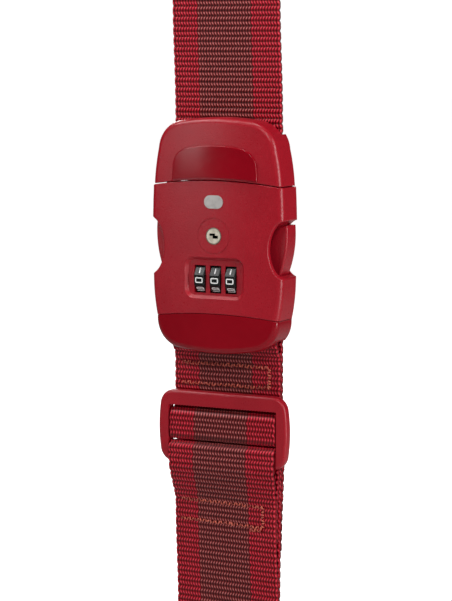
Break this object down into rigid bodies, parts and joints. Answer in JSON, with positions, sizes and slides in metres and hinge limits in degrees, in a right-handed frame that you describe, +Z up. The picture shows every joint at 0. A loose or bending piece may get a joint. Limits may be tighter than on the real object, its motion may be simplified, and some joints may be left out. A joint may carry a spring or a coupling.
{
  "type": "luggage strap",
  "caption": "Webbing luggage strap closed in a loop, with a side-release buckle that has a combination lock and a key lock, and a sliding length adjuster.",
  "frame": {"origin": "centre of the loop's footprint, on the floor that the bottom run lies on", "axes": "+X across the webbing, -Y the buckle's front, +Z up"},
  "size_m": [0.0608, 0.3472, 0.378],
  "materials": {
    "red_matte": "fine matte moulded texture, deep red",
    "red_gloss": "polished deep red",
    "webbing": "woven red webbing with a brown centre stripe",
    "dial_black": "black with white figures",
    "inner_plastic": "black moulded",
    "nickel": "nickel plated",
    "steel": "plain steel",
    "badge_enamel": "light enamel oval"
  },
  "bodies": {
    "root": {"strap_slider": "red_matte", "strap_lower_front": "webbing", "strap_bottom": "webbing", "strap_back": "webbing", "running_tail": "webbing", "strap_top_back": "webbing"},
    "housing": {"front_housing": "red_matte", "back_cover": "red_matte", "end_cap": "red_gloss", "lower_webbing_pin": "steel", "housing_screws": "steel", "badge": "badge_enamel", "cylinder_sleeve": "nickel", "dial_shaft": "steel", "detent_spring": "steel", "running_strap": "webbing", "strap_top_front": "webbing"},
    "insert": {"male_front_shell": "red_matte", "male_back_shell": "red_matte", "name_plate": "red_gloss", "upper_webbing_pin": "steel", "guide_tongue": "red_matte", "male_screws": "steel", "strap_upper_front": "webbing"},
    "right_arm": {"right_release_arm": "red_matte"},
    "left_arm": {"left_release_arm": "red_matte"},
    "key": {"key_cylinder": "nickel", "key_cam": "nickel"},
    "lock": {"lock_slider": "inner_plastic"},
    "dial_1": {"dial_wheel_1": "dial_black", "dial_sleeve_1": "inner_plastic"},
    "dial_2": {"dial_wheel_2": "dial_black", "dial_sleeve_2": "inner_plastic"},
    "dial_3": {"dial_wheel_3": "dial_black", "dial_sleeve_3": "inner_plastic"}
  },
  "joints": [
    {"name": "length_slide", "type": "slide", "parent": "root", "child": "housing", "axis": [0, 0, 1], "range_m": [0, 0.06], "deforming": ["strap_top_back"]},
    {"name": "release_slide", "type": "slide", "parent": "housing", "child": "insert", "axis": [0, 0, 1], "range_m": [0, 0.042], "deforming": ["strap_top_front", "right_release_arm", "left_release_arm"]},
    {"name": "right_arm_squeeze", "type": "hinge", "parent": "insert", "child": "right_arm", "pos_m": [0.0234, -0.1622, 0.261], "axis": [0, 1, 0], "range_deg": [0, 7], "stiffness_Nm_per_rad": 0.02},
    {"name": "left_arm_squeeze", "type": "hinge", "parent": "insert", "child": "left_arm", "pos_m": [-0.0234, -0.1622, 0.261], "axis": [0, -1, 0], "range_deg": [0, 7], "stiffness_Nm_per_rad": 0.02},
    {"name": "dial_1_turn", "type": "hinge", "parent": "housing", "child": "dial_1", "pos_m": [-0.0071, -0.16575, 0.2182], "axis": [1, 0, 0], "continuous": true},
    {"name": "dial_2_turn", "type": "hinge", "parent": "housing", "child": "dial_2", "pos_m": [0, -0.16575, 0.2182], "axis": [1, 0, 0], "continuous": true},
    {"name": "dial_3_turn", "type": "hinge", "parent": "housing", "child": "dial_3", "pos_m": [0.0071, -0.16575, 0.2182], "axis": [1, 0, 0], "continuous": true},
    {"name": "key_turn", "type": "hinge", "parent": "housing", "child": "key", "pos_m": [0, -0.17005, 0.2362], "axis": [0, 1, 0], "range_deg": [0, 90]},
    {"name": "lock_slide", "type": "slide", "parent": "housing", "child": "lock", "axis": [0, 0, 1], "range_m": [0, 0.00283]}
  ],
  "couplings": [
    {"joint": "key_turn", "follows": "lock_slide", "rad_per_m": 555.36}
  ]
}
